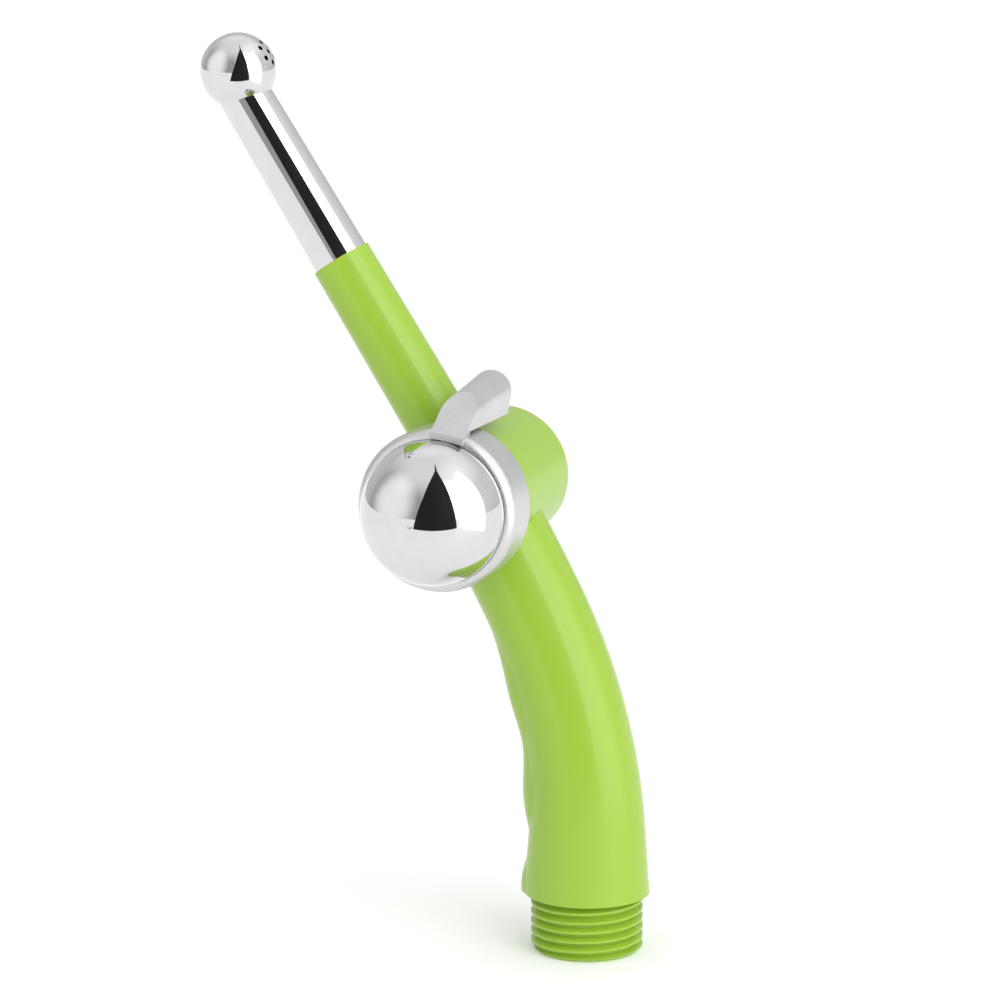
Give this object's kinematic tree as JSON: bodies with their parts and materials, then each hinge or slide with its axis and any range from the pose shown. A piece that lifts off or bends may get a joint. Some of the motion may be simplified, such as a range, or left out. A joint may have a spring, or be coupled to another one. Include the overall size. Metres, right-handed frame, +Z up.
{
  "type": "watering wand",
  "caption": "Short hand spray wand: curved lime grip with threaded hose inlet, quarter-turn thumb-lever valve, chrome tube and perforated ball head.",
  "frame": {"origin": "centre of the end face of the threaded inlet, where the hose washer seats", "axes": "+Z runs up the inlet axis into the grip, +Y along the valve barrel away from the lever knob, +X the side that the grip bulges to and the ball sprays to"},
  "size_m": [0.0869, 0.0557, 0.1696],
  "materials": {
    "lime_body": "satin moulded plastic",
    "polished_chrome": "mirror chrome plating",
    "satin_chrome": "satin chrome plating",
    "seal_rubber": "smooth moulded seal",
    "white_acetal": "machined or moulded engineering plastic",
    "brass": "machined",
    "steel": "stainless"
  },
  "bodies": {
    "wand": {"handle_body": "lime_body", "inlet_spigot": "lime_body", "spigot_o_ring": "seal_rubber", "strainer_rim": "white_acetal", "strainer_screen": "steel", "valve_liner": "white_acetal", "liner_key": "steel", "liner_o_rings": "seal_rubber", "port_seals": "seal_rubber", "thrust_washer": "white_acetal", "retaining_nut": "brass", "gland_o_ring": "seal_rubber", "spray_tube": "polished_chrome", "tube_o_rings": "seal_rubber", "ball_washer": "seal_rubber", "spray_ball": "polished_chrome"},
    "lever_knob": {"valve_spool": "brass", "spool_o_rings": "seal_rubber", "knob_lever": "satin_chrome", "knob_screw_washer": "steel", "knob_screw": "steel", "knob_cap": "polished_chrome", "cap_o_ring": "seal_rubber"}
  },
  "joints": [
    {"name": "lever_turn", "type": "hinge", "parent": "wand", "child": "lever_knob", "pos_m": [-0.0217, 0, 0.08665], "axis": [0, 1, 0], "range_deg": [0, 90]}
  ]
}
